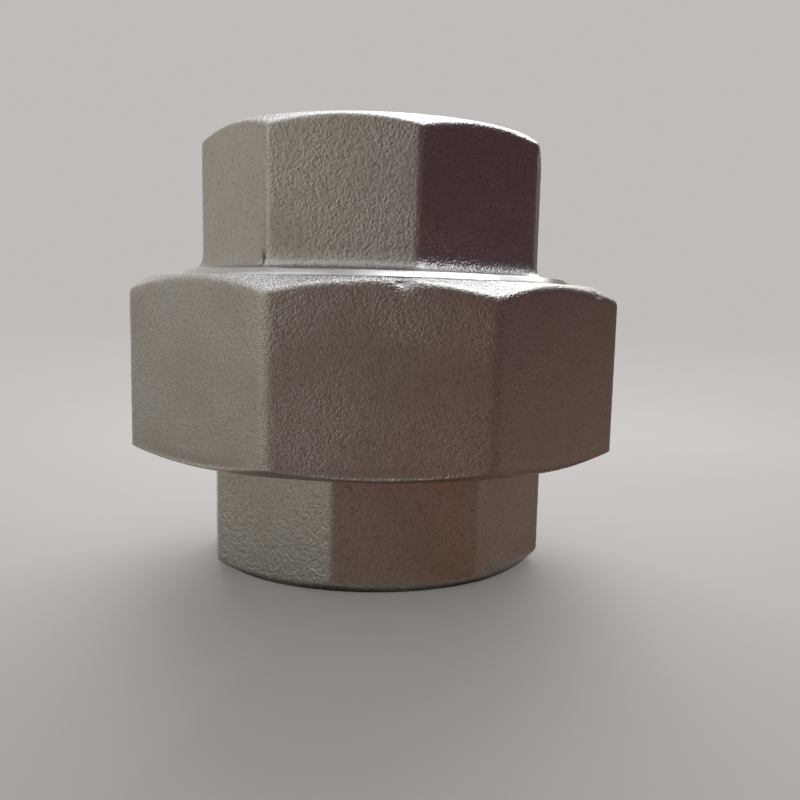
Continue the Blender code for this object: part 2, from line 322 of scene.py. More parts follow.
def section_rows(corners, count):
    """Rows of a closed section: straight runs between corners, each corner rounded by a parabola.

    A corner's blend is the distance from the corner to where the parabola leaves each run, and two
    blends that don't fit on one run shrink together. Returns radii, heights and each strip's finish.
    """
    points = np.array([[np.broadcast_to(c.radius, count), np.broadcast_to(c.height, count)]
                       for c in corners], float)
    blend = np.array([c.blend for c in corners])[:, None, None]
    ahead = np.roll(points, -1, axis=0) - points
    run = np.sqrt((ahead ** 2).sum(axis=1, keepdims=True))
    ahead = ahead / run
    fit = np.minimum(1.0, BLEND_ROOM * run / (blend + np.roll(blend, -1, axis=0)))
    leave = points + ahead * blend * fit
    enter = points - np.roll(ahead, 1, axis=0) * blend * np.roll(fit, 1, axis=0)
    curve = np.linspace(0.0, 1.0, BLEND_STRIPS + 1)[:, None, None]
    half = BLEND_STRIPS // 2
    rows = []
    finish = []
    for k, corner in enumerate(corners):
        bend = (1 - curve) ** 2 * enter[k] + 2 * curve * (1 - curve) * points[k] + curve ** 2 * leave[k]
        share = np.linspace(0.0, 1.0, corner.strips + 1)[1:-1, None, None]
        straight = leave[k] + (enter[(k + 1) % len(corners)] - leave[k]) * share
        rows += [bend, straight]
        finish += [corners[k - 1].finish] * half
        finish += [corner.finish] * (BLEND_STRIPS - half + corner.strips)
    grid = np.concatenate(rows)
    return grid[:, 0, :], grid[:, 1, :], np.array(finish)


def lattice_noise(points, size, seed):
    """Smooth noise from -1 to 1: random values on a lattice of that size, eased between its corners."""
    table = np.random.default_rng(seed).uniform(-1.0, 1.0, (NOISE_TABLE, NOISE_TABLE, NOISE_TABLE))
    place = points / size
    cell = np.floor(place).astype(int)
    part = place - cell
    part = part * part * (3.0 - 2.0 * part)
    total = np.zeros(points.shape[:-1])
    for step in itertools.product((0, 1), repeat=3):
        weight = np.prod(np.where(np.array(step) == 1, part, 1.0 - part), axis=-1)
        index = (cell + np.array(step)) % NOISE_TABLE
        total += weight * table[index[..., 0], index[..., 1], index[..., 2]]
    return total


def surface_normals(points):
    """Unit normals of a grid closed both ways: the cross product of its two central differences."""
    down = np.roll(points, -1, axis=0) - np.roll(points, 1, axis=0)
    around = np.roll(points, -1, axis=1) - np.roll(points, 1, axis=1)
    normals = np.cross(down, around)
    return normals / np.linalg.norm(normals, axis=-1, keepdims=True)


def cast_skin(points, finish, seed, nicks=()):
    """Pushes a casting's blasted strips in by a fraction of a millimetre: long waves, grain and nicks.

    A nick is a round dent, (place, width, depth), whose depth falls off as a bell curve.
    """
    blasted = (finish == CAST) & (np.roll(finish, 1) == CAST)
    weight = np.where(blasted, 1.0, 0.0)[:, None]
    depth = WAVE_DEPTH * (1.0 + lattice_noise(points, WAVE_WIDTH, seed)) / 2
    depth = depth + GRAIN_DEPTH * (1.0 + lattice_noise(points, GRAIN_WIDTH, seed + 1)) / 2
    for place, width, deep in nicks:
        apart = ((points / MM - np.array(place)) ** 2).sum(axis=-1)
        depth = depth + deep * MM * np.exp(-apart / width ** 2)
    return points - surface_normals(points) * (weight * depth)[..., None]


def crack_depth(points, line):
    """How far into a crack each point lies, 0 to 1: a bell curve of its distance from a broken line."""
    place = points / MM
    nearest = np.full(points.shape[:-1], np.inf)
    for start, stop in itertools.pairwise(np.array(line)):
        along = stop - start
        share = np.clip((place - start) @ along / (along @ along), 0.0, 1.0)
        apart = ((place - start - share[..., None] * along) ** 2).sum(axis=-1)
        nearest = np.minimum(nearest, apart)
    return np.exp(-nearest / CRACK_WIDTH ** 2)


def mark_crack_shade(mesh, crack_shade):
    """Stores how far each point of a casting lies in a crack's painted shade, from 0 to 1, for its
    material.
    """
    layer = mesh.attributes.new("crack_shade", "FLOAT", "POINT")
    layer.data.foreach_set("value", crack_shade.ravel())


def new_object(name, data):
    """Object of that name, put in the scene."""
    obj = bpy.data.objects.new(name, data)
    bpy.context.scene.collection.objects.link(obj)
    return obj


def add_piece(name, mesh, materials, body):
    """Puts a mesh in the scene on a body of the frame, with its materials."""
    for material in materials:
        mesh.materials.append(material)
    obj = new_object(name, mesh)
    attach(obj, body)
    return obj


def grid_quads(rows, columns, closed):
    """Quads of a grid whose columns run round in a ring, and whose rows do so too if it is closed."""
    row = np.arange(rows if closed else rows - 1)[:, None]
    column = np.arange(columns)[None, :]
    below = (row + 1) % rows
    beside = (column + 1) % columns
    quads = np.stack([row * columns + column, below * columns + column,
                      below * columns + beside, row * columns + beside], axis=-1)
    return quads.reshape(-1, 4)


def ring_mesh(name, points, finish):
    """Closed mesh from a grid of points, rows round the section and columns round the axis."""
    rows, columns = points.shape[:2]
    mesh = bpy.data.meshes.new(name)
    mesh.from_pydata(points.reshape(-1, 3), [], grid_quads(rows, columns, True))
    mesh.polygons.foreach_set("material_index", np.repeat(finish, columns).astype(np.int32))
    mesh.shade_smooth()
    return mesh


def turn_round(radii, heights, angles):
    """Points at each radius and height, placed at their column's angle about Z."""
    return np.stack([radii * np.cos(angles), radii * np.sin(angles), heights], axis=-1)


def thread_foot(pitch, tall):
    """Half the width of a ridge's foot, so that halfway up it is half a pitch wide, less the play."""
    return pitch / 4 + tall / 2 * THREAD_LEAN - THREAD_PLAY / 2


def thread_mesh(name, root, crest, pitch, low, high, crossing):
    """Ridge of a right-hand thread: a blunt wedge carried up a helix, rising one pitch a turn.

    Both sides lean 30 degrees, and the foot is sunk under the root. Over the first and last part of a
    turn the ridge rises from nothing. Low and high are the heights of its ends, and one of its turns,
    or its run on past an end, crosses the +X side at the crossing height.
    """
    turns = (high - low) / pitch
    path = np.linspace(0.0, turns, int(turns * THREAD_STEPS) + 1)
    run_out = np.clip(np.minimum(path, turns - path) / RUN_OUT, 0.0, 1.0)
    rise = (run_out * run_out * (3.0 - 2.0 * run_out))[:, None]
    tall = abs(crest - root)
    out = math.copysign(1.0, crest - root)
    foot = thread_foot(pitch, tall)
    up = np.array(RIDGE_HEIGHTS) * tall
    across = np.array(RIDGE_SIDES) * (foot - np.maximum(up, 0.0) * THREAD_LEAN)
    radii = root + out * (np.where(up > 0, up * rise, up) - (1.0 - rise) * RUN_OUT_SINK)
    turn = 2.0 * math.pi * ((low - crossing) / pitch + path[:, None])
    heights = low + path[:, None] * pitch + across * out
    points = turn_round(radii, heights, turn)
    steps, width = points.shape[:2]
    caps = [list(range(width)), list(range((steps - 1) * width, steps * width))[::-1]]
    mesh = bpy.data.meshes.new(name)
    mesh.from_pydata(points.reshape(-1, 3), [], grid_quads(steps, width, False).tolist() + caps)
    mesh.shade_smooth()
    return mesh


def give(tree, taker, sockets):
    """Gives each input of a node a value, an output, or the first output of another node."""
    for key, value in sockets.items():
        if isinstance(value, bpy.types.Node):
            value = value.outputs[0]
        if isinstance(value, bpy.types.NodeSocket):
            tree.links.new(value, taker.inputs[key])
        else:
            taker.inputs[key].default_value = value


def node(tree, kind, sockets=None, **settings):
    """Adds a node, sets its properties and gives its inputs what they take."""
    made = tree.nodes.new(kind)
    for key, value in settings.items():
        setattr(made, key, value)
    give(tree, made, sockets or {})
    return made


def new_material(name):
    """Material of that name with an empty tree, its shader and its output."""
    material = bpy.data.materials.new(name)
    material.use_nodes = True
    tree = material.node_tree
    tree.nodes.clear()
    shader = node(tree, "ShaderNodeBsdfPrincipled")
    node(tree, "ShaderNodeOutputMaterial", {"Surface": shader})
    return material, tree, shader


def opaque(tint):
    """Colour with its alpha."""
    return (*tint, 1.0)


def cast_stainless(name, finish, coarse, steep):
    """Investment-cast stainless, shot-blasted: a satin grey skin with a pebbled grain, painted shade in
    its pits and painted shade along a crack.

    The grain breaks the gloss into small glints, and soft clouds of tone come from the blasting.
    Coarse is the grain's width and steep the slope of its pebbles, both against the finish's own.
    """
    material, tree, shader = new_material(name)
    width = finish.grain * coarse
    place = node(tree, "ShaderNodeTexCoord").outputs["Object"]
    cloud = node(tree, "ShaderNodeTexNoise",
                 {"Vector": place, "Scale": 1.0 / finish.cloud, "Detail": 3.0})
    grain = node(tree, "ShaderNodeTexNoise",
                 {"Vector": place, "Scale": 1.0 / width, "Detail": 2.0, "Roughness": 0.55})
    grit = node(tree, "ShaderNodeTexNoise",
                {"Vector": place, "Scale": 1.0 / finish.grit, "Detail": 1.0})
    tone = node(tree, "ShaderNodeMapRange", {"Value": cloud, "From Min": 0.35, "From Max": 0.65})
    skin = node(tree, "ShaderNodeMix",
                {MIX_FACTOR: tone, MIX_A: opaque(finish.steel), MIX_B: opaque(finish.steel_dark)},
                data_type="RGBA")
    # Painted shade in the pits, darker where the grain sinks
    pit_shade_mask = node(tree, "ShaderNodeMapRange",
               {"Value": grain, "From Min": 0.50, "From Max": 0.25, "To Max": 0.70})
    pit_shaded = node(tree, "ShaderNodeMix",
                  {MIX_FACTOR: pit_shade_mask, MIX_A: skin.outputs[MIX_RESULT], MIX_B: opaque(finish.pit_shade)},
                  data_type="RGBA")
    # Painted shade along a crack, read from the casting's attribute
    mark = node(tree, "ShaderNodeAttribute", attribute_name="crack_shade")
    crack_shaded = node(tree, "ShaderNodeMix",
                   {MIX_FACTOR: mark.outputs["Fac"], MIX_A: pit_shaded.outputs[MIX_RESULT],
                    MIX_B: opaque(finish.crack)}, data_type="RGBA")
    dull = node(tree, "ShaderNodeMapRange",
                {"Value": cloud, "From Min": 0.3, "From Max": 0.7, "To Min": 0.30, "To Max": 0.38})
    worn = node(tree, "ShaderNodeMapRange",
                {"Value": cloud, "From Min": 0.62, "From Max": 0.38, "To Min": 0.4})
    pebbles = node(tree, "ShaderNodeBump",
                   {"Strength": worn, "Distance": PEBBLE_SLOPE * width * steep, "Height": grain})
    sand = node(tree, "ShaderNodeBump",
                {"Strength": 1.0, "Distance": GRIT_SLOPE * finish.grit, "Height": grit,
                 "Normal": pebbles})
    give(tree, shader, {"Base Color": crack_shaded.outputs[MIX_RESULT], "Metallic": 1.0, "Roughness": dull,
                        "Normal": sand})
    return material


def turned_stainless(name, finish):
    """Stainless faced on a lathe: bright, with fine rings round the axis on every turned face.

    The rings run by the sum of radius and height, so they show on flat faces, bores and cones alike.
    """
    material, tree, shader = new_material(name)
    place = node(tree, "ShaderNodeTexCoord").outputs["Object"]
    split = node(tree, "ShaderNodeSeparateXYZ", {"Vector": place})
    flat = node(tree, "ShaderNodeCombineXYZ", {"X": split.outputs["X"], "Y": split.outputs["Y"]})
    radius = node(tree, "ShaderNodeVectorMath", {0: flat}, operation="LENGTH")
    along = node(tree, "ShaderNodeMath", {0: radius.outputs["Value"], 1: split.outputs["Z"]},
                 operation="ADD")
    feed = node(tree, "ShaderNodeTexNoise",
                {"W": along, "Scale": 1.0 / finish.lathe, "Detail": 2.0}, noise_dimensions="1D")
    smear = node(tree, "ShaderNodeTexNoise",
                 {"Vector": place, "Scale": 1.0 / finish.cloud, "Detail": 2.0})
    tone = node(tree, "ShaderNodeMix",
                {MIX_FACTOR: feed, MIX_A: opaque(finish.turned_dark), MIX_B: opaque(finish.turned)},
                data_type="RGBA")
    gloss = node(tree, "ShaderNodeMapRange",
                 {"Value": smear, "From Min": 0.3, "From Max": 0.7, "To Min": 0.24, "To Max": 0.36})
    rings = node(tree, "ShaderNodeBump", {"Strength": 1.0, "Distance": RING_DEPTH, "Height": feed})
    give(tree, shader, {"Base Color": tone.outputs[MIX_RESULT], "Metallic": 1.0, "Roughness": gloss,
                        "Normal": rings})
    return material


def steel_pair(piece, finish, coarse, steep):
    """A casting's blasted and turned steel, in the order of their slots."""
    return [cast_stainless(f"Blasted cast stainless, {piece}", finish, coarse, steep),
            turned_stainless(f"Turned stainless, {piece}", finish)]


def white_fluoropolymer(name, finish):
    """Skived fluoropolymer: waxy white, a little cloudy, with a soft gloss and faint scratches."""
    material, tree, shader = new_material(name)
    place = node(tree, "ShaderNodeTexCoord").outputs["Object"]
    cloud = node(tree, "ShaderNodeTexNoise",
                 {"Vector": place, "Scale": 0.5 / finish.cloud, "Detail": 3.0})
    scuff = node(tree, "ShaderNodeTexNoise",
                 {"Vector": place, "Scale": 1.0 / finish.lathe, "Detail": 2.0})
    tone = node(tree, "ShaderNodeMix",
                {MIX_FACTOR: cloud, MIX_A: opaque(finish.seal), MIX_B: opaque(finish.seal_dark)},
                data_type="RGBA")
    gloss = node(tree, "ShaderNodeMapRange", {"Value": scuff, "To Min": 0.34, "To Max": 0.5})
    rub = node(tree, "ShaderNodeBump", {"Strength": 1.0, "Distance": SCUFF_DEPTH, "Height": scuff})
    give(tree, shader, {"Base Color": tone.outputs[MIX_RESULT], "Roughness": gloss, "IOR": 1.36,
                        "Normal": rub})
    return material


def port_corners(sizes, face, inward):
    """Section corners of a port, from its face inwards: countersink, thread root, run-out and waterway.

    Heights run from the face along the given sign.
    """
    depth = sizes.port_depth
    sink = sizes.port_mouth - sizes.port_root
    step = sizes.port_crest - sizes.waterway
    turned = sizes.turned_blend
    return [
        Corner(sizes.port_mouth, face, turned, 1, TURNED),
        Corner(sizes.port_root, face + inward * sink, turned, 8, TURNED),
        Corner(sizes.port_root, face + inward * (depth - sizes.port_pitch), turned, 1, TURNED),
        Corner(sizes.port_crest, face + inward * depth, turned, 1, TURNED),
        Corner(sizes.waterway, face + inward * (depth + step), turned, 4, TURNED),
    ]


def port_thread(name, sizes, face, inward, body, material):
    """Pipe thread in a port: a ridge from the countersink to the end of the thread's root."""
    start = face + inward * PORT_START * sizes.port_pitch
    stop = face + inward * (sizes.port_depth - PORT_STOP * sizes.port_pitch)
    low, high = min(start, stop), max(start, stop)
    mesh = thread_mesh(name, sizes.port_root, sizes.port_crest, sizes.port_pitch, low, high, low)
    return add_piece(name, mesh, [material], body)


class PIPE_UNION_OT_tail(bpy.types.Operator):
    """Tail piece: octagon and port below, neck through the nut's lip, collar with the seal's recess"""

    bl_idname = "pipe_union.tail"
    bl_label = "Tail piece"

    def execute(self, context):
        sizes = context.scene.pipe_union_sizes
        finish = context.scene.pipe_union_finish
        angles = octagon_angles(sizes.tail_turn)
        octagon = octagon_radius(angles, sizes.tail_turn, sizes.end_flats, sizes.end_edge)
        rim = sizes.end_flats / 2 - sizes.end_inset
        drop = (octagon - rim) * math.tan(sizes.end_slope)
        low, top = TAIL_LOW.z, TAIL_HIGH.z
        collar = TAIL_HIGH.x
        chamfer = sizes.cast_blend
        recess = SEAL_HIGH.x + sizes.recess_gap
        turned, cast = sizes.turned_blend, sizes.cast_blend
        outside = [
            Corner(collar - chamfer, top, turned, 1, TURNED),
            Corner(collar, top - chamfer, turned, 6, TURNED),
            Corner(collar, top - sizes.collar, turned, 2, TURNED),
            Corner(sizes.neck, top - sizes.collar, turned, 4, TURNED),
            Corner(sizes.neck, sizes.flats_length, turned, 2, CAST),
            Corner(octagon, sizes.flats_length, turned, 38, CAST),
            Corner(octagon, low + drop, cast, 6, CAST),
            Corner(rim, low, cast, 3, TURNED),
        ]
        inside = [
            Corner(sizes.waterway, top - sizes.recess, turned, 3, TURNED),
            Corner(recess, top - sizes.recess, turned, 2, TURNED),
            Corner(recess, top, turned, 3, TURNED),
        ]
        corners = outside + port_corners(sizes, low, 1.0) + inside
        radii, heights, strips = section_rows(corners, len(angles))
        points = cast_skin(turn_round(radii, heights, angles), strips, TAIL_SEED)
        materials = steel_pair("tail", finish, coarse=1.4, steep=2.4)
        piece = add_piece("tail_casting", ring_mesh("tail_casting", points, strips), materials, "tail")
        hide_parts("tail_piece")
        port_thread("tail_port_thread", sizes, low, 1.0, "tail", materials[1])
        return {"FINISHED"}


class PIPE_UNION_OT_seal(bpy.types.Operator):
    """Seal: a flat fluoropolymer ring in the collar's recess"""

    bl_idname = "pipe_union.seal"
    bl_label = "Seal ring"

    def execute(self, context):
        sizes = context.scene.pipe_union_sizes
        finish = context.scene.pipe_union_finish
        angles = octagon_angles(0.0)
        blend = sizes.turned_blend
        corners = [
            Corner(SEAL_HIGH.x, SEAL_HIGH.z, blend, 4, SEAL_SKIN),
            Corner(SEAL_HIGH.x, SEAL_LOW.z, blend, 8, SEAL_SKIN),
            Corner(sizes.seal_inner, SEAL_LOW.z, blend, 4, SEAL_SKIN),
            Corner(sizes.seal_inner, SEAL_HIGH.z, blend, 8, SEAL_SKIN),
        ]
        radii, heights, strips = section_rows(corners, len(angles))
        mesh = ring_mesh("seal_flat_ring", turn_round(radii, heights, angles), strips)
        material = white_fluoropolymer("Skived white fluoropolymer", finish)
        piece = add_piece("seal_flat_ring", mesh, [material], "seal")
        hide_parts("seal_ring")
        return {"FINISHED"}


class PIPE_UNION_OT_nut(bpy.types.Operator):
    """Union nut: octagon with coned ends, threaded mouth above and in-turned lip below"""

    bl_idname = "pipe_union.nut"
    bl_label = "Union nut"

    def execute(self, context):
        sizes = context.scene.pipe_union_sizes
        finish = context.scene.pipe_union_finish
        flats = NUT_HIGH.x - NUT_LOW.x
        low, top = NUT_LOW.z, NUT_HIGH.z
        angles = octagon_angles(0.0)
        octagon = octagon_radius(angles, 0.0, flats, sizes.nut_edge)
        top_rim = flats / 2 - sizes.nut_top_inset
        foot_rim = flats / 2 - sizes.nut_foot_inset
        shoulder = top - (octagon - top_rim) * math.tan(sizes.nut_top_slope)
        foot = low + (octagon - foot_rim) * math.tan(sizes.nut_foot_slope)
        # The dip over the burr starts four of its heights up, and runs out at the octagon's corners
        burr = sizes.foot_burr * (octagon.max() - octagon) / np.ptp(octagon)
        turned, cast = sizes.turned_blend, sizes.cast_blend
        root = sizes.union_crest + sizes.thread_gap
        lip = low + sizes.nut_lip
        groove = lip + sizes.nut_groove
        step = 2 * turned
        mouth = sizes.nut_mouth - root
        corners = [
            Corner(top_rim, top, turned, 6, CAST),
            Corner(octagon, shoulder, sizes.nut_top_blend, 40, CAST),
            Corner(octagon, foot + 4 * sizes.burr_height, turned, 3, CAST),
            Corner(octagon - burr, foot + sizes.burr_height, turned, 3, CAST),
            Corner(octagon, foot, turned, 6, CAST),
            Corner(foot_rim, low, cast, 4, CAST),
            Corner(sizes.nut_hole + cast, low, turned, 1, TURNED),
            Corner(sizes.nut_hole, low + cast, turned, 4, TURNED),
            Corner(sizes.nut_hole, lip - cast, turned, 1, TURNED),
            Corner(sizes.nut_hole + cast, lip, turned, 3, TURNED),
            Corner(root + step, lip, turned, 3, TURNED),
            Corner(root + step, groove, turned, 1, TURNED),
            Corner(root, groove + step, turned, 8, TURNED),
            Corner(root, top - mouth, turned, 1, TURNED),
            Corner(sizes.nut_mouth, top, turned, 3, CAST),
        ]
        radii, heights, strips = section_rows(corners, len(angles))
        points = cast_skin(turn_round(radii, heights, angles), strips, NUT_SEED, NUT_NICKS)
        materials = steel_pair("nut", finish, coarse=1.0, steep=3.2)
        piece = add_piece("nut_casting", ring_mesh("nut_casting", points, strips), materials, "nut")
        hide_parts("union_nut")
        crest = sizes.union_root + sizes.thread_gap
        pitch = sizes.union_pitch
        edge = thread_foot(pitch, root - crest)
        thread_low, thread_high = groove + step + edge, top - mouth - edge
        mesh = thread_mesh("nut_thread", root, crest, pitch, thread_low, thread_high, pitch / 2)
        add_piece("nut_thread", mesh, [materials[1]], "nut")
        return {"FINISHED"}


class PIPE_UNION_OT_head(bpy.types.Operator):
    """Head piece: threaded spigot below, and an octagon with a port that grows from its shoulder"""

    bl_idname = "pipe_union.head"
    bl_label = "Head piece"

    def execute(self, context):
        sizes = context.scene.pipe_union_sizes
        finish = context.scene.pipe_union_finish
        angles = octagon_angles(sizes.head_turn)
        octagon = octagon_radius(angles, sizes.head_turn, sizes.end_flats, sizes.end_edge)
        rim = sizes.end_flats / 2 - sizes.end_inset
        drop = (octagon - rim) * math.tan(sizes.end_slope)
        low, top = HEAD_LOW.z, HEAD_HIGH.z
        foot = low + sizes.spigot_length
        thread_top = foot - sizes.shoulder_length
        cone_drop = sizes.shoulder_width * math.tan(sizes.shoulder_slope)
        turned, cast = sizes.turned_blend, sizes.cast_blend
        lead = sizes.spigot_lead
        step = 2 * turned
        outside = [
            Corner(rim, top, cast, 6, CAST),
            Corner(octagon, top - drop, cast, 44, CAST),
            Corner(octagon, foot, sizes.foot_fillet, 3, CAST),
            Corner(sizes.shoulder - sizes.shoulder_width, foot, turned, 3, TURNED),
            Corner(sizes.shoulder, foot - cone_drop, turned, 3, TURNED),
            Corner(sizes.shoulder, thread_top, turned, 1, TURNED),
            Corner(sizes.union_root, thread_top - step, turned, 8, TURNED),
            Corner(sizes.union_root, low + lead, turned, 2, TURNED),
            Corner(sizes.union_root - lead, low, turned, 5, TURNED),
        ]
        # The port is listed from its face inwards. Turned about, its corners lead on to other runs.
        inside = port_corners(sizes, top, -1.0)[::-1]
        inside = [corner._replace(strips=count) for corner, count in zip(inside, (2, 1, 8, 1, 3))]
        corners = outside + [Corner(sizes.waterway, low, turned, 4, TURNED)] + inside
        radii, heights, strips = section_rows(corners, len(angles))
        points = cast_skin(turn_round(radii, heights, angles), strips, HEAD_SEED)
        crack = crack_depth(points, HEAD_CRACK)
        points = points - surface_normals(points) * (CRACK_DEPTH * MM * crack)[..., None]
        materials = steel_pair("head", finish, coarse=1.15, steep=2.6)
        mesh = ring_mesh("head_casting", points, strips)
        # The crack's depth also sets how dark its painted shade is
        mark_crack_shade(mesh, crack)
        piece = add_piece("head_casting", mesh, materials, "head")
        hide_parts("head_piece")
        port_thread("head_port_thread", sizes, top, -1.0, "head", materials[1])
        root, crest, pitch = sizes.union_root, sizes.union_crest, sizes.union_pitch
        edge = thread_foot(pitch, crest - root)
        thread_low, thread_high = low + lead + edge, thread_top - step - edge
        mesh = thread_mesh("head_thread", root, crest, pitch, thread_low, thread_high, 0.0)
        add_piece("head_thread", mesh, [materials[1]], "head")
        return {"FINISHED"}


class PIPE_UNION_OT_stage(bpy.types.Operator):
    """Stage: pale floor and surround, softbox behind, cards that the metal mirrors, and the camera"""

    bl_idname = "pipe_union.stage"
    bl_label = "Stage and camera"

    def execute(self, context):
        stage = context.scene.pipe_union_stage
        add_floor(stage)
        add_surround(context.scene, stage)
        add_softbox(stage)
        add_cards(stage)
        add_camera(context.scene, stage)
        context.scene.view_settings.view_transform = "Standard"
        return {"FINISHED"}


def add_floor(stage):
    """Round floor whose far part fades into the surround, and in which metal mirrors less shadow."""
    turns = np.linspace(0.0, 2.0 * math.pi, FLOOR_SIDES, endpoint=False)
    rim = turn_round(FLOOR_RADIUS, np.full(FLOOR_SIDES, -FLOOR_DROP), turns)
    mesh = bpy.data.meshes.new("floor")
    mesh.from_pydata(rim, [], [list(range(FLOOR_SIDES))])
    material, tree, shader = new_material("Matt paper floor")
    place = node(tree, "ShaderNodeTexCoord").outputs["Object"]
    fibre = node(tree, "ShaderNodeTexNoise", {"Vector": place, "Scale": 40.0, "Detail": 3.0})
    dark = [level * FIBRE_TONE for level in stage.floor]
    tone = node(tree, "ShaderNodeMix",
                {MIX_FACTOR: fibre, MIX_A: opaque(stage.floor), MIX_B: opaque(dark)}, data_type="RGBA")
    give(tree, shader, {"Base Color": tone.outputs[MIX_RESULT], "Roughness": 0.7})
    far = node(tree, "ShaderNodeVectorMath", {0: place}, operation="LENGTH").outputs["Value"]
    reach = node(tree, "ShaderNodeMath", {0: far, 1: FADE_REACH}, operation="ADD")
    share = node(tree, "ShaderNodeMath", {0: FADE_REACH, 1: reach}, operation="DIVIDE")
    fade = node(tree, "ShaderNodeMapRange",
                {"Value": share, "From Min": 0.6, "From Max": 0.05, "To Min": 0.25},
                interpolation_type="SMOOTHSTEP")
    behind = node(tree, "ShaderNodeNewGeometry").outputs["Backfacing"]
    glossy = node(tree, "ShaderNodeLightPath").outputs["Is Glossy Ray"]
    mirrored = node(tree, "ShaderNodeMath", {0: glossy, 1: MIRROR_SHARE}, operation="MULTIPLY")
    pale = node(tree, "ShaderNodeMath", {0: fade, 1: mirrored}, operation="MAXIMUM")
    under = node(tree, "ShaderNodeMapRange",
                 {"Value": far, "From Min": UNDER_START, "From Max": UNDER_FULL})
    closed = node(tree, "ShaderNodeMath", {0: glossy, 1: under}, operation="MULTIPLY")
    keep = node(tree, "ShaderNodeMath", {0: 1.0, 1: closed}, operation="SUBTRACT")
    seen = node(tree, "ShaderNodeMath", {0: pale, 1: keep}, operation="MULTIPLY")
    hide = node(tree, "ShaderNodeMath", {0: seen, 1: behind}, operation="MAXIMUM")
    clear = node(tree, "ShaderNodeBsdfTransparent")
    both = node(tree, "ShaderNodeMixShader", {0: hide, 1: shader, 2: clear})
    give(tree, tree.nodes["Material Output"], {"Surface": both})
    mesh.materials.append(material)
    floor = new_object("floor", mesh)


def add_surround(scene, stage):
    """Even pale surround on every side."""
    world = bpy.data.worlds.new("Pale surround")
    world.use_nodes = True
    world.node_tree.nodes.clear()
    back = node(world.node_tree, "ShaderNodeBackground",
                {"Color": opaque(stage.surround), "Strength": 1.0})
    node(world.node_tree, "ShaderNodeOutputWorld", {"Surface": back})
    scene.world = world


def stand(side, reach, rise):
    """Point at an angle about Z from the front, a reach from the axis and a rise above the floor."""
    return Vector((math.sin(side) * reach, -math.cos(side) * reach, rise))


def add_softbox(stage):
    """Softbox behind and above, turned to face the object."""
    lamp = bpy.data.lights.new("softbox", "AREA")
    lamp.shape = "RECTANGLE"
    lamp.size = stage.lamp_width
    lamp.size_y = stage.lamp_height
    lamp.energy = stage.lamp_power
    softbox = new_object("softbox", lamp)
    place = stand(stage.lamp_side, stage.lamp_reach, stage.lamp_rise)
    softbox.location = place
    softbox.rotation_euler = place.to_track_quat("Z", "Y").to_euler()


def even(tint):
    """Stops of a glow with one tint all round."""
    return (-180.0, tint), (180.0, tint)


# Dim tints lie in front and on the right, and bright ones on the left, behind and above
GLOWS = {
    "Dim tinted screen": Glow((
        (-16.0, "screen_front"), (8.0, "screen_front"), (22.0, "screen_inner"), (50.0, "screen_side"),
        (68.0, "screen_side"), (104.0, "screen_right"), (172.0, "screen_back")), 1.0),
    "Dim tinted upper screen": Glow((
        (-16.0, "screen_front"), (-2.0, "screen_front"), (14.0, "screen_edge"), (50.0, "screen_side"),
        (80.0, "screen_side"), (125.0, "screen_edge")), 1.0),
    "Dim tinted foot": Glow((
        (-16.0, "screen_front"), (8.0, "screen_front"), (22.0, "screen_foot"), (60.0, "screen_right"),
        (172.0, "screen_right")), 1.0),
    "Dim tinted floor": Glow((
        (-16.0, "screen_front"), (6.0, "screen_front"), (18.0, "screen_red"), (28.0, "screen_inner"),
        (60.0, "screen_right"), (172.0, "screen_right")), 1.0),
    "White light strip": Glow(even("strip"), 1.0),
    "Pale side card": Glow(even("side_card"), 1.0),
    "White window": Glow(even("window"), 2.0),
    "White front window": Glow(even("window"), 1.5),
    "White high card": Glow(even("window"), 2.5),
    "White back card": Glow(even("window"), 5.5),
    "White overhead card": Glow(even("window"), 6.5),
}
CARDS = (
    Card("screen", "Dim tinted screen", -16.0, 125.0, (0.16, 0.171), (0.02, 0.065)),
    Card("screen_upper", "Dim tinted upper screen", -16.0, 125.0, (0.171, 0.18, 0.20),
         (0.065, 0.10, 0.30)),
    Card("screen_behind", "Dim tinted screen", 125.0, 178.0, (0.16, 0.20), (0.02, 0.15)),
    Card("screen_foot", "Dim tinted foot", -16.0, 172.0, (0.027, 0.06), (0.0004, 0.0004)),
    Card("screen_floor", "Dim tinted floor", -16.0, 172.0, (0.06, 0.11, 0.16), (0.0004, 0.0004, 0.02)),
    Card("strip", "White light strip", -76.0, -44.0, (0.30, 0.30), (0.02, 0.50)),
    Card("side_card", "Pale side card", -152.0, -112.0, (0.30, 0.30), (0.02, 0.16)),
    Card("window", "White window", 52.0, 118.0, (0.19, 0.13), (0.36, 0.50)),
    Card("front_window", "White front window", -52.0, 2.0, (0.19, 0.11), (0.34, 0.50)),
    Card("left_card", "White high card", -114.0, -82.0, (0.30, 0.12), (0.28, 0.50)),
    Card("back_card", "White high card", -205.0, -172.0, (0.40, 0.40), (0.20, 0.60)),
    Card("back_left_card", "White back card", -163.0, -143.0, (0.40, 0.40), (0.49, 0.85)),
    Card("left_shade", "Pale side card", -172.0, -138.0, (0.42, 0.42), (0.05, 0.46)),
    Card("overhead", "White overhead card", 60.0, 192.0, (0.02, 0.90), (1.10, 1.10)),
)


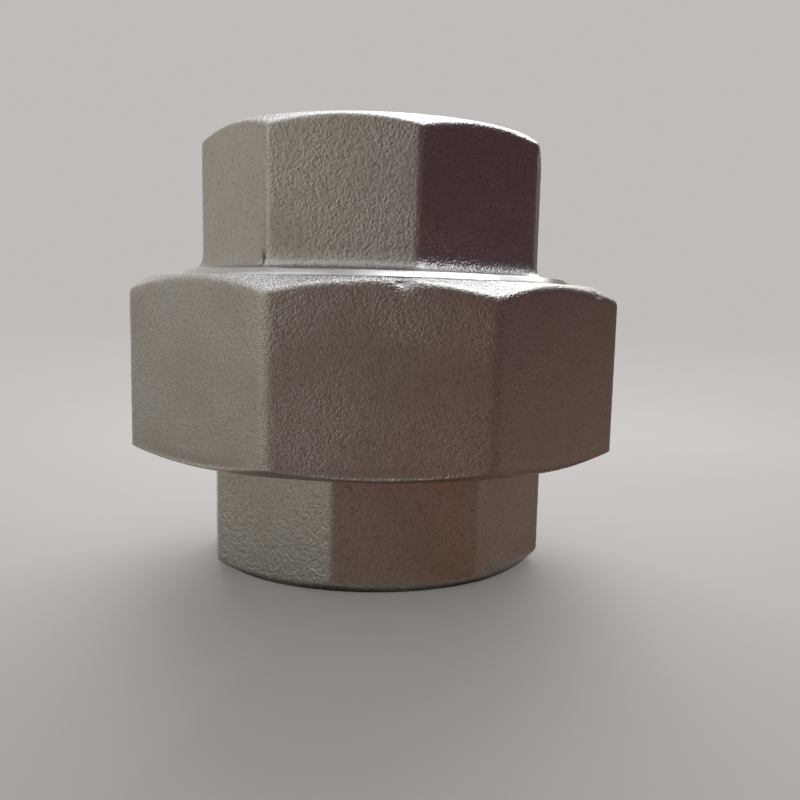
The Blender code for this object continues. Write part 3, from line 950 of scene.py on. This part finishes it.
def glowing_card(name, stops, strength):
    """Material that gives off light of that strength, whose tint runs through the stops round Z."""
    material, tree, shader = new_material(name)
    first, last = stops[0][0], stops[-1][0]
    place = node(tree, "ShaderNodeTexCoord").outputs["Object"]
    split = node(tree, "ShaderNodeSeparateXYZ", {"Vector": place})
    front = node(tree, "ShaderNodeMath", {0: split.outputs["Y"], 1: -1.0}, operation="MULTIPLY")
    turn = node(tree, "ShaderNodeMath", {0: split.outputs["X"], 1: front}, operation="ARCTAN2")
    share = node(tree, "ShaderNodeMapRange",
                 {"Value": turn, "From Min": math.radians(first), "From Max": math.radians(last)})
    ramp = node(tree, "ShaderNodeValToRGB", {"Fac": share})
    elements = ramp.color_ramp.elements
    elements[0].color = opaque(stops[0][1])
    elements[1].color = opaque(stops[-1][1])
    for degrees, tint in stops[1:-1]:
        elements.new((degrees - first) / (last - first)).color = opaque(tint)
    give(tree, shader, {"Base Color": (0.0, 0.0, 0.0, 1.0), "Roughness": 1.0, "Emission Color": ramp,
                        "Emission Strength": strength})
    return material


def add_card(plan, material):
    """Curved card that only reflections see: a profile carried round the axis between two angles."""
    turns = np.radians(np.linspace(plan.start, plan.stop, CARD_COLUMNS))[None, :]
    out = np.array(plan.reach)[:, None]
    up = np.array(plan.rise)[:, None] + 0.0 * turns
    points = np.stack([out * np.sin(turns), -out * np.cos(turns), up], axis=-1)
    row = np.arange(len(plan.rise) - 1)[:, None]
    first = row * CARD_COLUMNS + np.arange(CARD_COLUMNS - 1)[None, :]
    above = first + CARD_COLUMNS
    quads = np.stack([first, first + 1, above + 1, above], axis=-1)
    mesh = bpy.data.meshes.new(plan.name)
    mesh.from_pydata(points.reshape(-1, 3), [], quads.reshape(-1, 4))
    mesh.materials.append(material)
    card = new_object(plan.name, mesh)
    card.visible_camera = False
    card.visible_diffuse = False
    card.visible_shadow = False


def add_cards(stage):
    """Every card, in the material of its glow."""
    materials = {}
    for name, glow in GLOWS.items():
        stops = [(degrees, getattr(stage, tint)) for degrees, tint in glow.stops]
        materials[name] = glowing_card(name, stops, glow.strength)
    for plan in CARDS:
        add_card(plan, materials[plan.glow])


def add_camera(scene, stage):
    """Camera on a circle round the axis, turned by its heading, pitch and roll."""
    side, heading = stage.camera_side, stage.camera_heading
    pitch, roll = stage.camera_pitch, stage.camera_roll
    place = stand(side, stage.camera_distance, stage.camera_height)
    level = Vector((math.sin(heading), math.cos(heading), 0.0))
    ahead = level * math.cos(pitch) - Vector((0.0, 0.0, math.sin(pitch)))
    right = Vector((math.cos(heading), -math.sin(heading), 0.0))
    up = right.cross(ahead)
    right_rolled = right * math.cos(roll) - up * math.sin(roll)
    up_rolled = right * math.sin(roll) + up * math.cos(roll)
    data = bpy.data.cameras.new("camera")
    data.lens = stage.camera_lens
    data.shift_x = stage.camera_shift_x
    data.shift_y = stage.camera_shift_y
    data.clip_start = CAMERA_CLIP
    camera = new_object("camera", data)
    turn = Matrix((right_rolled, up_rolled, -ahead)).transposed().to_4x4()
    camera.matrix_world = Matrix.Translation(place) @ turn
    scene.camera = camera


class PIPE_UNION_PT_sidebar(bpy.types.Panel):
    """Sidebar list of the union's pieces, sizes, finishes and stage"""

    bl_idname = "PIPE_UNION_PT_sidebar"
    bl_label = "Pipe Union"
    bl_space_type = "VIEW_3D"
    bl_region_type = "UI"
    bl_category = "Pipe Union"

    def draw(self, context):
        for operator in OPERATORS:
            self.layout.operator(operator.bl_idname)
        for group in (context.scene.pipe_union_sizes, context.scene.pipe_union_finish,
                      context.scene.pipe_union_stage):
            column = self.layout.column(align=True)
            for name in group.__annotations__:
                column.prop(group, name)


OPERATORS = (PIPE_UNION_OT_tail, PIPE_UNION_OT_seal, PIPE_UNION_OT_nut, PIPE_UNION_OT_head,
             PIPE_UNION_OT_stage)
GROUPS = {
    "pipe_union_sizes": UnionSizes,
    "pipe_union_finish": UnionFinish,
    "pipe_union_stage": UnionStage,
}


def register():
    """Register the classes, and hang the settings on the scene."""
    for made in (*GROUPS.values(), *OPERATORS, PIPE_UNION_PT_sidebar):
        bpy.utils.register_class(made)
    for name, group in GROUPS.items():
        setattr(bpy.types.Scene, name, PointerProperty(type=group))


def unregister():
    """Undo register."""
    for name in GROUPS:
        delattr(bpy.types.Scene, name)
    for made in (PIPE_UNION_PT_sidebar, *reversed(OPERATORS), *GROUPS.values()):
        bpy.utils.unregister_class(made)


def main():
    """Make every piece and the stage."""
    register()
    bpy.ops.pipe_union.tail()
    bpy.ops.pipe_union.seal()
    bpy.ops.pipe_union.nut()
    bpy.ops.pipe_union.head()
    bpy.ops.pipe_union.stage()


if __name__ == "__main__":
    main()
